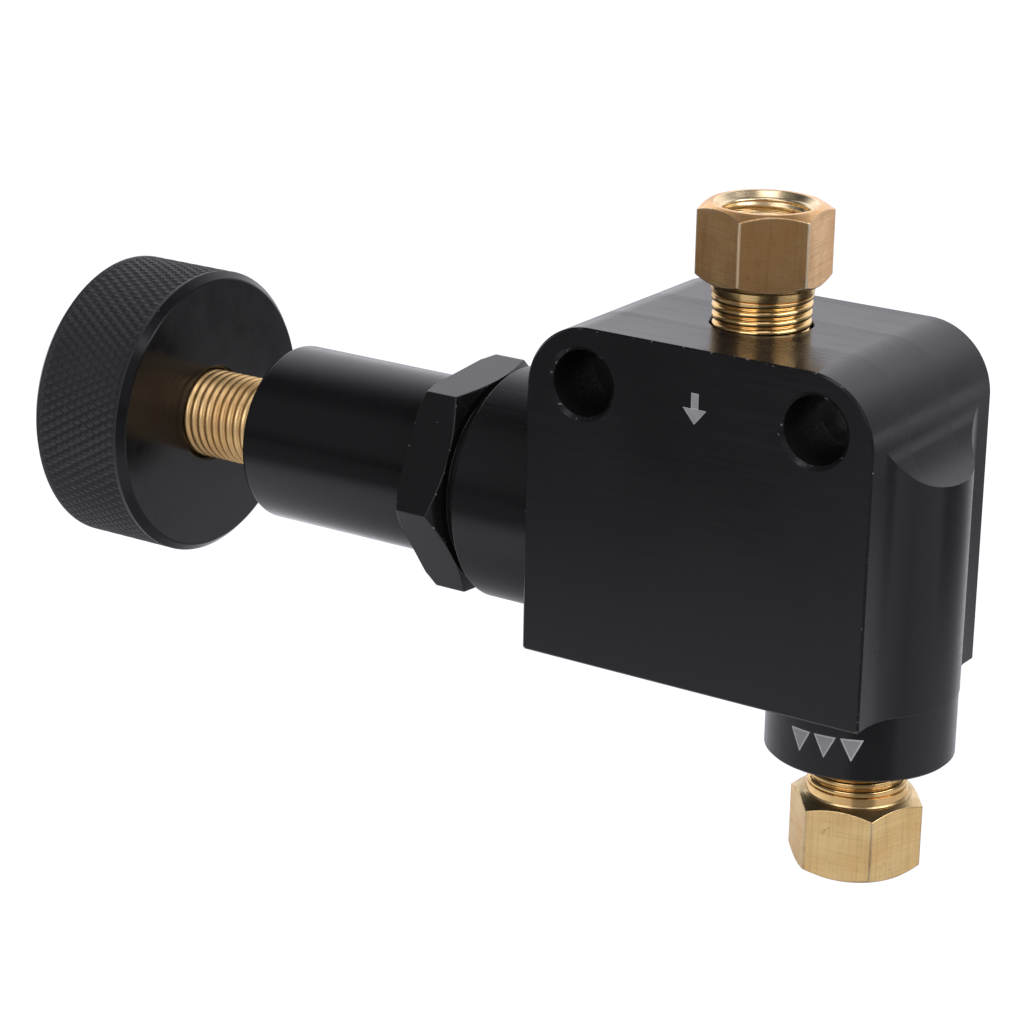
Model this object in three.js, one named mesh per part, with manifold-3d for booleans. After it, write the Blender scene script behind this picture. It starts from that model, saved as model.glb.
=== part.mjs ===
// Adjustable proportioning valve with a knurled knob, in millimetres.
//
// The origin is midway between the two mounting holes, on the mounting face.
// +X runs along the adjuster axis from the knob towards the block, +Y is the
// outward normal of the mounting face, and +Z points from the outlet to the inlet.
import * as THREE from 'three';
import { mergeVertices } from 'three/addons/utils/BufferGeometryUtils.js';
import Module from 'manifold-3d';

const wasm = await Module();
wasm.setup();

// ---- driving dimensions -------------------------------------------------

const block = { width: 39.5, depth: 25.4, top: 5.9, bottom: -29.85, cornerRadius: 7.15 };
const side = block.width / 2;
const midY = -block.depth / 2;
const mountingHole = { spacing: 26.5, radius: 3.5, chamfer: 0.4 };

const adjusterZ = -16.65;
const adjusterBoss = { radius: 12.65, end: -29.05, edge: 0.25 };
const outletX = 13.55;
const outletBoss = { radius: 9.75, bottom: -36.75 };
const ribFillet = 6.35;
const ribCove = 5.5;

const port = { boreRadius: 5.3, boreDepth: 10.3, drillRadius: 2.5 };

const fitting = {
  length: 8.05, cornerRadius: 7.0, endRadius: 5.75, neck: 0.7, neckRadius: 4.85,
  tail: 14.1, threadTop: 5.15, threadTip: 4.75, tipEdge: 0.6,
  socketRadius: 4.5, socketRim: 5.6, socketDepth: 7.3, countersink: 0.65,
  seatTop: 1.6, seatFoot: 3.6, seatHeight: 2.1, boreRadius: 1.3,
};
const hexBevel = Math.tan(Math.PI / 6);
const inletHexBase = 10.2;
const outletHexBase = -41.55;
const inletHexTurn = THREE.MathUtils.degToRad(7.3);
const outletHexTurn = THREE.MathUtils.degToRad(41.3);

const gap = 0.2;
const hexFlange = { start: -36.3, end: -31.1, cornerRadius: 13.0, rearRadius: 12.05, frontRadius: 11.3 };
const bonnetHexTurn = THREE.MathUtils.degToRad(5.1);
const sleeve = { radius: 9.78, end: -59.3, edge: 0.8 };
const shoulder = { radius: 10.4, end: -29.05 };
const shank = { radius: 8.8, neckRadius: 8.5, neckEnd: -26.95, nose: -17.3, edge: 0.8 };
const dragGroove = { radius: 6.7, left: -55.9, right: -54.1 };
const springBore = { radius: 7.4, end: -50.0 };

const screw = { radius: 4.95, hole: 5.08, mouth: 0.6, inKnob: -79.5, tip: -46.9, tipRadius: 4.6 };
const stopRing = { left: -49.7, right: -48.7, grooveRadius: 4.0, outer: 6.4, play: 0.15, opening: 0.35 };
const knob = { radius: 16.2, inner: -70.9, outer: -84.1, edge: 0.8, bore: 5.1, boreEnd: -80.0 };
const setScrew = { x: -77.6, radius: 1.95, hole: 2.1, from: 5.3, length: 6.0, socket: 1.0, socketDepth: 2.0 };

const ball = { radius: 2.0, x: -46.3 };
const ballPocket = { radius: 2.15, inScrew: 1.0, drillPoint: 0.9, inCap: 1.6 };
const cap = { left: -45.7, right: -43.2, radius: 7.3, pilotRadius: 4.5, pilotEnd: -41.4 };
const spring = { left: -43.1, right: -20.1, meanRadius: 5.7, wireRadius: 0.8, turns: 6 };
const seat = { left: -20.0, right: -18.6, radius: 6.6, pilotRadius: 4.4, pilotEnd: -21.8, hole: 2.35 };

const bore = { thread: 9.0, threadEnd: -17.0, guide: 7.0, guideEnd: -7.0, inlet: 5.7, inletEnd: 8.0 };
const outletChamber = { radius: 4.6, end: 16.6, point: 17.9 };
const bossRecess = { radius: 10.6, end: -26.95 };

const stem = {
  radius: 3.0, hole: 3.08, step: -18.4, tailRadius: 2.2, tailEnd: -22.6, end: 3.0, neckRadius: 1.9,
};
const head = { left: 9.6, right: 13.0, radius: 4.2, faceRadius: 3.6, noseRadius: 1.8, nose: 16.4 };

const packing = { inner: 3.13, outer: 6.85 };
const guide = { right: -11.6, grooveRadius: 5.5, grooveLeft: -15.0, grooveRight: -13.4 };
const backupRing = { left: -11.4, right: -10.2 };
const cup = { left: -10.0, right: -7.2, lip: 0.6, valleyInner: 4.7, valleyOuter: 5.2, valley: -8.8 };
const poppetSeal = {
  left: 5.0, right: 7.8, outer: 5.55, footInner: 3.0, footLeft: 5.2, throat: 2.7, throatLeft: 6.2,
  throatRight: 7.4, faceInner: 3.9,
};
const retainer = {
  left: 3.6, right: 4.8, inner: 3.5, outer: 5.6, slotDepth: 0.7, slotWidth: 1.4, slotX: 3.8,
};
const oRing = {
  bonnet: { major: 9.45, minor: 0.75, x: -28.05 },
  drag: { major: 5.9, minor: 0.7, x: -55.0 },
  guide: { major: 6.15, minor: 0.62, x: -14.2 },
};

const smallEdge = 0.5;
const tinyEdge = 0.3;
const round = { large: 48, medium: 36, small: 24, tiny: 16, wire: 6 };

// ---- materials ----------------------------------------------------------

function material(color, roughness, metalness) {
  return new THREE.MeshStandardMaterial({ color, roughness, metalness });
}

const blackAnodised = material(0x17181a, 0.38, 0.6);
const brass = material(0xc49a5a, 0.32, 1.0);
const steel = material(0xb4b7ba, 0.3, 1.0);
const springSteel = material(0x6c7074, 0.4, 1.0);
const rubber = material(0x141414, 0.8, 0.0);
const whitePlastic = material(0xe8e6de, 0.5, 0.0);

// ---- geometry helpers ---------------------------------------------------

function signedVolume(position, index) {
  const [a, b, c] = [new THREE.Vector3(), new THREE.Vector3(), new THREE.Vector3()];
  let sum = 0;
  for (let i = 0; i < index.length; i += 3) {
    a.fromBufferAttribute(position, index[i]);
    b.fromBufferAttribute(position, index[i + 1]);
    c.fromBufferAttribute(position, index[i + 2]);
    sum += a.dot(b.cross(c)) / 6;
  }
  return sum;
}

// Shares equal vertices, drops triangles of no area and turns the faces outward.
function closed(source) {
  source.deleteAttribute('normal');
  source.deleteAttribute('uv');
  const geometry = mergeVertices(source, 1e-4);
  const all = geometry.index.array;
  const kept = [];
  for (let i = 0; i < all.length; i += 3) {
    const [a, b, c] = [all[i], all[i + 1], all[i + 2]];
    if (a !== b && b !== c && c !== a) kept.push(a, b, c);
  }
  if (signedVolume(geometry.attributes.position, kept) < 0) kept.reverse();
  geometry.setIndex(kept);
  return geometry;
}

function toSolid(geometry) {
  const vertProperties = new Float32Array(geometry.attributes.position.array);
  const triVerts = new Uint32Array(geometry.index.array);
  return new wasm.Manifold(new wasm.Mesh({ numProp: 3, vertProperties, triVerts }));
}

function toGeometry(solid) {
  const mesh = solid.getMesh();
  const geometry = new THREE.BufferGeometry();
  geometry.setAttribute('position', new THREE.BufferAttribute(mesh.vertProperties, 3));
  geometry.setIndex(new THREE.BufferAttribute(mesh.triVerts, 1));
  return geometry;
}

function cut(geometry, ...tools) {
  return toGeometry(tools.reduce((solid, tool) => solid.subtract(toSolid(tool)), toSolid(geometry)));
}

function join(geometry, ...others) {
  return toGeometry(others.reduce((solid, other) => solid.add(toSolid(other)), toSolid(geometry)));
}

function common(geometry, other) {
  return toGeometry(toSolid(geometry).intersect(toSolid(other)));
}

// A turned shape about Z. The outline is [radius, height] points, and it either
// starts and ends on the axis or is closed back to its first point.
function turned(outline, segments) {
  const onAxis = outline[0][0] === 0 && outline[outline.length - 1][0] === 0;
  const points = (onAxis ? outline : [...outline, outline[0]]).map(([r, h]) => new THREE.Vector2(r, h));
  return closed(new THREE.LatheGeometry(points, segments).rotateX(Math.PI / 2));
}

// The same about the adjuster axis: the outline's heights are X positions.
function turnedOnAdjuster(outline, segments) {
  return turned(outline, segments).rotateY(Math.PI / 2).translate(0, midY, adjusterZ);
}

function rod(radius, from, to, segments) {
  return turned([[0, from], [radius, from], [radius, to], [0, to]], segments);
}

function rodAcross(radius, chamfer, segments) {
  const reach = radius + chamfer + 1;
  const depth = block.depth;
  const outline = [
    [0, -1], [reach, -1], [radius, chamfer], [radius, depth - chamfer], [reach, depth + 1], [0, depth + 1],
  ];
  return turned(outline, segments).rotateX(Math.PI / 2);
}

function ringOnAdjuster({ major, minor, x }) {
  return closed(new THREE.TorusGeometry(major, minor, round.wire, round.small))
    .rotateY(Math.PI / 2).translate(x, midY, adjusterZ);
}

function hexagon(cornerRadius, from, to, turn) {
  const prism = new THREE.CylinderGeometry(cornerRadius, cornerRadius, to - from, 6);
  prism.rotateX(Math.PI / 2).rotateZ(turn).translate(0, 0, (from + to) / 2);
  return closed(prism);
}

function extruded(shape, depth, curveSegments) {
  return closed(new THREE.ExtrudeGeometry(shape, { depth, bevelEnabled: false, curveSegments }));
}

const group = new THREE.Group();

function add(name, geometry, look) {
  const mesh = new THREE.Mesh(geometry, look);
  mesh.name = name;
  group.add(mesh);
}

// ---- valve body ---------------------------------------------------------

function blockOutline() {
  const { cornerRadius, top, bottom } = block;
  const shape = new THREE.Shape();
  shape.moveTo(-side, bottom);
  shape.lineTo(side, bottom);
  shape.lineTo(side, top - cornerRadius);
  shape.absarc(side - cornerRadius, top - cornerRadius, cornerRadius, 0, Math.PI / 2, false);
  shape.lineTo(cornerRadius - side, top);
  shape.absarc(cornerRadius - side, top - cornerRadius, cornerRadius, Math.PI / 2, Math.PI, false);
  shape.closePath();
  return shape;
}

// The rib's plan: the outlet boss's radius, blended into the block's side by two fillets.
function ribOutline() {
  const toFillet = side + ribFillet - outletX;
  const spread = Math.sqrt((outletBoss.radius + ribFillet) ** 2 - toFillet ** 2);
  const turn = Math.atan2(spread, toFillet);
  const shape = new THREE.Shape();
  shape.moveTo(0, midY - spread);
  shape.lineTo(side, midY - spread);
  shape.absarc(side + ribFillet, midY - spread, ribFillet, Math.PI, Math.PI - turn, true);
  shape.absarc(outletX, midY, outletBoss.radius, -turn, turn, false);
  shape.absarc(side + ribFillet, midY + spread, ribFillet, Math.PI + turn, Math.PI, true);
  shape.lineTo(0, midY + spread);
  shape.closePath();
  return shape;
}

// The cutter that sweeps the rib's top outward from the block's rounded corner.
function coveOutline() {
  const start = block.top - block.cornerRadius;
  const reach = side + ribCove + 5;
  const shape = new THREE.Shape();
  shape.moveTo(side, start);
  shape.absarc(side + ribCove, start, ribCove, Math.PI, 1.5 * Math.PI, false);
  shape.lineTo(reach, start - ribCove);
  shape.lineTo(reach, block.top);
  shape.lineTo(side, block.top);
  shape.closePath();
  return shape;
}

// Turns an outline drawn in X and Z into a slab from the mounting face to the front face.
function slab(shape, overrun) {
  return extruded(shape, block.depth + 2 * overrun, 10).rotateX(Math.PI / 2).translate(0, overrun, 0);
}

function mainBore() {
  return turnedOnAdjuster([
    [0, adjusterBoss.end - 1], [bossRecess.radius, adjusterBoss.end - 1], [bossRecess.radius, bossRecess.end],
    [bore.thread, bossRecess.end], [bore.thread, bore.threadEnd], [bore.guide, bore.threadEnd],
    [bore.guide, bore.guideEnd], [bore.inlet, bore.guideEnd], [bore.inlet, bore.inletEnd],
    [outletChamber.radius, bore.inletEnd], [outletChamber.radius, outletChamber.end],
    [0, outletChamber.point],
  ], round.medium);
}

function valveBody() {
  const { radius, end, edge } = adjusterBoss;
  const ribTop = block.top - block.cornerRadius;
  const rib = extruded(ribOutline(), ribTop - block.bottom, 8).translate(0, 0, block.bottom);
  const boss = turnedOnAdjuster([[0, end], [radius - edge, end], [radius, end + edge], [radius, 0], [0, 0]],
    round.large);
  const outlet = rod(outletBoss.radius, outletBoss.bottom, block.bottom + 1, round.large)
    .translate(outletX, midY, 0);
  const body = join(slab(blockOutline(), 0), cut(rib, slab(coveOutline(), 1)), boss, outlet);
  const holes = [-1, 1].map((way) => rodAcross(mountingHole.radius, mountingHole.chamfer, round.small)
    .translate(way * mountingHole.spacing / 2, 0, 0));
  const inletPort = rod(port.boreRadius, block.top - port.boreDepth, block.top + 1, round.medium);
  const outletPort = rod(port.boreRadius, outletBoss.bottom - 1, outletBoss.bottom + port.boreDepth,
    round.medium);
  const inletDrill = rod(port.drillRadius, adjusterZ, block.top - port.boreDepth + 1, round.small);
  const outletDrill = rod(port.drillRadius, outletBoss.bottom + port.boreDepth - 1, adjusterZ, round.small);
  return cut(body, mainBore(), ...holes,
    inletPort.translate(0, midY, 0), inletDrill.translate(0, midY, 0),
    outletPort.translate(outletX, midY, 0), outletDrill.translate(outletX, midY, 0));
}

// ---- port fittings ------------------------------------------------------

// A hexagon adapter standing on Z = 0, with its tapered thread below and its
// flare socket above. The socket's floor carries the conical seat.
function portFitting() {
  const { length, cornerRadius, endRadius, neck, neckRadius, tail, threadTop, threadTip, tipEdge } = fitting;
  const { socketRadius, socketRim, socketDepth, countersink, seatTop, seatFoot, seatHeight } = fitting;
  const chamfer = (cornerRadius - endRadius) * hexBevel;
  const floor = length - socketDepth;
  const over = cornerRadius + 1;
  const envelope = turned([
    [0, 0], [endRadius, 0], [over, (over - endRadius) * hexBevel],
    [over, length - (over - endRadius) * hexBevel], [endRadius, length], [0, length],
  ], round.medium);
  const hex = common(hexagon(cornerRadius, 0, length, 0), envelope);
  const plug = turned([
    [0, -tail], [threadTip - tipEdge, -tail], [threadTip, tipEdge - tail], [threadTop, -neck],
    [neckRadius, -neck + 0.1], [neckRadius, chamfer], [0, chamfer],
  ], round.medium);
  const socket = turned([
    [0, floor + seatHeight], [seatTop, floor + seatHeight], [seatFoot, floor], [socketRadius, floor],
    [socketRadius, length - countersink], [socketRim, length + tinyEdge], [0, length + tinyEdge],
  ], round.medium);
  const through = rod(fitting.boreRadius, -tail - 1, length, round.tiny);
  return cut(join(hex, plug), socket, through);
}

function inFitting() {
  return portFitting().rotateZ(inletHexTurn).translate(0, midY, inletHexBase);
}

function outFitting() {
  return portFitting().rotateX(Math.PI).rotateZ(outletHexTurn).translate(outletX, midY, outletHexBase);
}

// ---- bonnet, screw and knob ---------------------------------------------

function bonnet() {
  const { start, end, cornerRadius, rearRadius, frontRadius } = hexFlange;
  const over = cornerRadius + 1;
  const bevelled = turned([
    [0, start], [rearRadius, start], [over, start + (over - rearRadius) * hexBevel],
    [over, end - (over - frontRadius) * hexBevel], [frontRadius, end], [0, end],
  ], round.large);
  const flange = common(hexagon(cornerRadius, start, end, bonnetHexTurn), bevelled);
  const outer = turned([
    [0, sleeve.end], [sleeve.radius - sleeve.edge, sleeve.end],
    [sleeve.radius - 0.3 * sleeve.edge, sleeve.end + 0.3 * sleeve.edge],
    [sleeve.radius, sleeve.end + sleeve.edge], [sleeve.radius, start + 1], [shoulder.radius, start + 1],
    [shoulder.radius, shoulder.end], [shank.neckRadius, shoulder.end],
    [shank.neckRadius, shank.neckEnd], [shank.radius, shank.neckEnd + tinyEdge],
    [shank.radius, shank.nose - shank.edge], [shank.radius - shank.edge, shank.nose], [0, shank.nose],
  ], round.large);
  const mouth = screw.hole + screw.mouth;
  const inside = turned([
    [0, sleeve.end - 1], [mouth, sleeve.end - 1], [mouth, sleeve.end],
    [screw.hole, sleeve.end + screw.mouth], [screw.hole, dragGroove.left],
    [dragGroove.radius, dragGroove.left], [dragGroove.radius, dragGroove.right],
    [screw.hole, dragGroove.right], [screw.hole, springBore.end], [springBore.radius, springBore.end],
    [springBore.radius, shank.nose + 1], [0, shank.nose + 1],
  ], round.large);
  return cut(join(outer, flange), inside).rotateY(Math.PI / 2).translate(0, midY, adjusterZ);
}

function adjusterScrew() {
  const { radius, inKnob, tip, tipRadius } = screw;
  return turnedOnAdjuster([
    [0, inKnob], [radius - smallEdge, inKnob], [radius, inKnob + smallEdge], [radius, stopRing.left],
    [stopRing.grooveRadius, stopRing.left], [stopRing.grooveRadius, stopRing.right],
    [tipRadius, stopRing.right], [tipRadius, tip - smallEdge], [tipRadius - smallEdge, tip],
    [ballPocket.radius, tip], [ballPocket.radius, tip - ballPocket.inScrew],
    [0, tip - ballPocket.inScrew - ballPocket.drillPoint],
  ], round.large);
}

// A circlip: a flat ring with a gap between its ends.
function screwStopRing() {
  const { left, right, grooveRadius, outer, play, opening } = stopRing;
  const shape = new THREE.Shape();
  shape.absarc(0, 0, outer, opening, 2 * Math.PI - opening, false);
  shape.absarc(0, 0, grooveRadius + play, 2 * Math.PI - opening, opening, true);
  shape.closePath();
  return extruded(shape, right - left - 2 * play, round.tiny).rotateY(Math.PI / 2)
    .translate(left + play, midY, adjusterZ);
}

function adjusterKnob() {
  const { radius, inner, outer, edge } = knob;
  const grip = turnedOnAdjuster([
    [0, outer], [radius - edge, outer], [radius, outer + edge], [radius, inner - edge],
    [radius - edge, inner], [knob.bore + tinyEdge, inner], [knob.bore, inner - tinyEdge],
    [knob.bore, knob.boreEnd], [0, knob.boreEnd],
  ], round.large);
  const tapping = rod(setScrew.hole, 0, radius + 2, round.tiny).rotateX(-Math.PI / 2)
    .translate(setScrew.x, midY, adjusterZ);
  return cut(grip, tapping);
}

// A grub screw on the knob's +Y side, with a hexagon socket in its outer end.
function knobSetScrew() {
  const { radius, from, length, socket, socketDepth } = setScrew;
  const end = from + length;
  const shaft = turned([
    [0, from], [radius - smallEdge, from], [radius, from + smallEdge], [radius, end], [0, end],
  ], round.tiny);
  const key = hexagon(socket, end - socketDepth, end + 1, 0);
  return cut(shaft, key).rotateX(-Math.PI / 2).translate(setScrew.x, midY, adjusterZ);
}

// ---- spring train -------------------------------------------------------

function thrustBall() {
  return closed(new THREE.SphereGeometry(ball.radius, round.tiny, 8)).translate(ball.x, midY, adjusterZ);
}

function springCap() {
  const { left, right, radius, pilotRadius, pilotEnd } = cap;
  return turnedOnAdjuster([
    [0, left + ballPocket.inCap], [ballPocket.radius, left + ballPocket.inCap], [ballPocket.radius, left],
    [radius, left], [radius, right], [pilotRadius, right], [pilotRadius, pilotEnd - smallEdge],
    [pilotRadius - smallEdge, pilotEnd], [0, pilotEnd],
  ], round.medium);
}

class Helix extends THREE.Curve {
  constructor(radius, length, turns) {
    super();
    Object.assign(this, { radius, length, turns });
  }

  getPoint(t, target = new THREE.Vector3()) {
    const angle = 2 * Math.PI * this.turns * t;
    return target.set(this.length * t, this.radius * Math.cos(angle), this.radius * Math.sin(angle));
  }
}

function mainSpring() {
  const { left, right, meanRadius, wireRadius, turns } = spring;
  const wire = new THREE.Shape();
  wire.absarc(0, 0, wireRadius, 0, 2 * Math.PI, false);
  const length = right - left - 2 * wireRadius;
  const path = new Helix(meanRadius, length, turns);
  const steps = turns * 12;
  const coil = new THREE.ExtrudeGeometry(wire, { steps, extrudePath: path, curveSegments: round.wire });
  return closed(coil).translate(left + wireRadius, midY, adjusterZ);
}

function springSeat() {
  const { left, right, radius, pilotRadius, pilotEnd, hole } = seat;
  return turnedOnAdjuster([
    [hole, pilotEnd], [pilotRadius - smallEdge, pilotEnd], [pilotRadius, pilotEnd + smallEdge],
    [pilotRadius, left], [radius, left], [radius, right], [hole, right],
  ], round.medium);
}

function piston() {
  return turnedOnAdjuster([
    [0, stem.tailEnd], [stem.tailRadius, stem.tailEnd], [stem.tailRadius, stem.step],
    [stem.radius, stem.step], [stem.radius, stem.end - smallEdge], [stem.neckRadius, stem.end],
    [stem.neckRadius, head.left], [head.faceRadius, head.left], [head.radius, head.left + smallEdge],
    [head.radius, head.right], [head.noseRadius, head.right], [head.noseRadius, head.nose - smallEdge],
    [head.noseRadius - smallEdge, head.nose], [0, head.nose],
  ], round.medium);
}

// ---- seals --------------------------------------------------------------

function stemGuide() {
  const { right, grooveRadius, grooveLeft, grooveRight } = guide;
  const left = bore.threadEnd + gap;
  return turnedOnAdjuster([
    [stem.hole, left], [packing.outer, left], [packing.outer, grooveLeft], [grooveRadius, grooveLeft],
    [grooveRadius, grooveRight], [packing.outer, grooveRight], [packing.outer, right], [stem.hole, right],
  ], round.medium);
}

function stemBackupRing() {
  const { left, right } = backupRing;
  return turnedOnAdjuster([
    [packing.inner, left], [packing.outer, left], [packing.outer, right], [packing.inner, right],
  ], round.medium);
}

// A cup whose lips open towards the inlet chamber.
function stemSeal() {
  const { left, right, lip, valleyInner, valleyOuter, valley } = cup;
  return turnedOnAdjuster([
    [packing.inner, left], [packing.outer, left], [packing.outer, right], [packing.outer - lip, right],
    [valleyOuter, valley], [valleyInner, valley], [packing.inner + lip, right], [packing.inner, right],
  ], round.medium);
}

function valveSeal() {
  const { left, right, outer, footInner, footLeft, throat, throatLeft, throatRight, faceInner } = poppetSeal;
  return turnedOnAdjuster([
    [footInner, footLeft], [outer, left], [outer, right], [faceInner, right], [throat, throatRight],
    [throat, throatLeft],
  ], round.medium);
}

// A ring with three slots across its face that let the fluid past.
function sealRetainer() {
  const { left, right, inner, outer, slotDepth, slotWidth, slotX } = retainer;
  const ring = turnedOnAdjuster([[inner, left], [outer, left], [outer, right], [inner, right]], round.medium);
  const slots = [0, 1, 2].map((turn) => closed(new THREE.BoxGeometry(slotDepth, slotWidth, 2 * outer + 1))
    .rotateX(turn * Math.PI / 3).translate(slotX, midY, adjusterZ));
  return cut(ring, ...slots);
}

add('valve_body', valveBody(), blackAnodised);
add('bonnet', bonnet(), blackAnodised);
add('adjuster_screw', adjusterScrew(), brass);
add('adjuster_knob', adjusterKnob(), blackAnodised);
add('in_fitting', inFitting(), brass);
add('out_fitting', outFitting(), brass);
add('knob_set_screw', knobSetScrew(), steel);
add('bonnet_o_ring', ringOnAdjuster(oRing.bonnet), rubber);
add('drag_o_ring', ringOnAdjuster(oRing.drag), rubber);
add('screw_stop_ring', screwStopRing(), steel);
add('thrust_ball', thrustBall(), steel);
add('spring_cap', springCap(), steel);
add('main_spring', mainSpring(), springSteel);
add('spring_seat', springSeat(), steel);
add('piston', piston(), brass);
add('stem_guide', stemGuide(), brass);
add('guide_o_ring', ringOnAdjuster(oRing.guide), rubber);
add('stem_backup_ring', stemBackupRing(), whitePlastic);
add('stem_seal', stemSeal(), rubber);
add('valve_seal', valveSeal(), rubber);
add('seal_retainer', sealRetainer(), brass);

export default group;
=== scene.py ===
import math

import bmesh
import bpy
import numpy as np
from mathutils import Matrix, Vector

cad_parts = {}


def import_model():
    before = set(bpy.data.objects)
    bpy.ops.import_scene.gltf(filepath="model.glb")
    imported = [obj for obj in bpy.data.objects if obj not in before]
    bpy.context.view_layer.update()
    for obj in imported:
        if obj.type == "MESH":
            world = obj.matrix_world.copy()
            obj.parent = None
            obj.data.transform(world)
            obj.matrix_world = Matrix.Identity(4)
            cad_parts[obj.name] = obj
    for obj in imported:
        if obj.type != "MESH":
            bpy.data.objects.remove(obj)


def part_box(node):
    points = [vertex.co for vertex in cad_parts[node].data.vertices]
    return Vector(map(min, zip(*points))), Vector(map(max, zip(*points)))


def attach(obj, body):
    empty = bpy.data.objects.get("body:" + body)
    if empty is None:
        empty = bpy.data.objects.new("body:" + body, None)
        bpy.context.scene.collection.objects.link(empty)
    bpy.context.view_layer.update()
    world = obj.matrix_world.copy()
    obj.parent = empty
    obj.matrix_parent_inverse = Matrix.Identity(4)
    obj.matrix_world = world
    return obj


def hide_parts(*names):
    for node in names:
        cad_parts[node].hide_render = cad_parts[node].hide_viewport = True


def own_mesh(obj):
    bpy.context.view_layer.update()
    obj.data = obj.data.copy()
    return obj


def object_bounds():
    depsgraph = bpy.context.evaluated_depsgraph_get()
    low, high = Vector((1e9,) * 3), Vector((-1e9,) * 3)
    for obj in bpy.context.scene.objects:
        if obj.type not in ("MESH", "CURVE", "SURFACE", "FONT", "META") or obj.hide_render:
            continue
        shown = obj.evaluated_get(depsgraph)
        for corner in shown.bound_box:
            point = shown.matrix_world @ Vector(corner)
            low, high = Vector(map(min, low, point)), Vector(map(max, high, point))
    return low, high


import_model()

cad_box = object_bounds()

# Lengths below are millimetres; meshes are scaled to metres as they are made.
MM = 0.001
TAU = 2 * math.pi


def box_mm(node):
    """Lowest and highest corner of a CAD node, in millimetres."""
    low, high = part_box(node)
    return np.array(low) / MM, np.array(high) / MM


# ---- driving dimensions ---------------------------------------------------

BODY_LOW, BODY_HIGH = box_mm("valve_body")
BONNET_LOW, BONNET_HIGH = box_mm("bonnet")
SCREW_LOW, SCREW_HIGH = box_mm("adjuster_screw")
KNOB_LOW, KNOB_HIGH = box_mm("adjuster_knob")
OUTLET_LOW, OUTLET_HIGH = box_mm("out_fitting")

DEPTH = BODY_HIGH[1] - BODY_LOW[1]
MID_Y = (BODY_LOW[1] + BODY_HIGH[1]) / 2
ADJUSTER_Z = (KNOB_LOW[2] + KNOB_HIGH[2]) / 2
ADJUSTER = (0.0, MID_Y, ADJUSTER_Z)
INLET = (0.0, MID_Y, 0.0)
OUTLET = ((OUTLET_LOW[0] + OUTLET_HIGH[0]) / 2, MID_Y, 0.0)

FLOOR_DROP = 45.0
SIDE = 19.75
BLOCK_TOP = BODY_HIGH[2]
BLOCK_BOTTOM = -29.85
CORNER = 7.15
EDGE = 0.22
HOLE_SPACING = 26.5
HOLE_RADIUS = 3.5
HOLE_RIM = 3.92

BOSS_RADIUS = 12.65
BOSS_END = BODY_LOW[0]
OUTLET_BOSS_RADIUS = 9.75
OUTLET_BOSS_END = BODY_LOW[2]
RIB_RADIUS = 9.83
RIB_FILLET = 6.35
COVE = 5.5

HEX_START = -36.3
HEX_END = -31.1
HEX_TURN = math.radians(5.1)
HEX_RADIUS = 13.0
HEX_REAR_RADIUS = 12.05
HEX_FRONT_RADIUS = 11.3
BEVEL_SLOPE = math.tan(math.pi / 6)
SHOULDER_RADIUS = 10.4
NECK_RADIUS = 8.5
NECK_END = -26.95
BONNET_THREAD_RADIUS = 8.85
BONNET_PITCH = 1.5
SPRING_BORE_RADIUS = 7.4
SPRING_BORE_END = -50.0
DRAG_GROOVE_RADIUS = 6.7
DRAG_GROOVE_LEFT = -55.9
DRAG_GROOVE_RIGHT = -54.1
SLEEVE_RADIUS = 9.78
SLEEVE_EDGE = 0.8
SCREW_RADIUS = 5.0
SCREW_HOLE_RADIUS = 5.06
SCREW_PITCH = 1.0
STOP_GROOVE_RADIUS = 4.0
STOP_GROOVE_LEFT = -49.7
STOP_GROOVE_RIGHT = -48.7
KNOB_BORE_RADIUS = 5.1
KNOB_BORE_END = -80.0
KNOB_EDGE = 0.85
SET_SCREW_X = -77.6
INLET_HEX_BASE = 10.2
OUTLET_HEX_BASE = -41.55
PIPE_PITCH = 25.4 / 27
FLARE_PITCH = 25.4 / 24


# ---- mesh building --------------------------------------------------------

def placed(name, data):
    """A new object in the scene with that mesh, camera or lamp."""
    made = bpy.data.objects.new(name, data)
    bpy.context.scene.collection.objects.link(made)
    return made


def new_object(name, vertices, faces):
    """A mesh object from millimetre vertices, with its faces turned outward and shaded smooth."""
    mesh = bpy.data.meshes.new(name)
    mesh.from_pydata([tuple(v) for v in np.asarray(vertices, float) * MM], [], faces)
    work = bmesh.new()
    work.from_mesh(mesh)
    bmesh.ops.recalc_face_normals(work, faces=work.faces)
    work.to_mesh(mesh)
    work.free()
    mesh.shade_smooth()
    return placed(name, mesh)


def round_columns(count):
    return np.arange(count) * TAU / count


def hex_columns(turn, per_side=20):
    """Angles round a hexagon whose corners lie at turn + 60 degrees, closer together at the corners."""
    steps = np.arange(per_side) / per_side * 2 - 1
    across = math.pi / 6 * np.sin(math.pi / 2 * steps)
    return np.concatenate([turn + math.pi / 6 + side * math.pi / 3 + across for side in range(6)])


def hex_radius(columns, turn, corner_radius, rounding):
    """Distance from the axis to a hexagon's side at each angle, with its corners rounded."""
    flat = (corner_radius - rounding * (1 / math.cos(math.pi / 6) - 1)) * math.cos(math.pi / 6)
    from_flat = np.abs((columns - turn) % (math.pi / 3) - math.pi / 6)
    from_corner = math.pi / 6 - from_flat
    centre = (flat - rounding) / math.cos(math.pi / 6)
    inside = np.maximum(rounding ** 2 - (centre * np.sin(from_corner)) ** 2, 0)
    rounded = centre * np.cos(from_corner) + np.sqrt(inside)
    on_flat = flat * np.tan(from_flat) <= (flat - rounding) * math.tan(math.pi / 6)
    return np.where(on_flat, flat / np.cos(from_flat), rounded)


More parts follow.
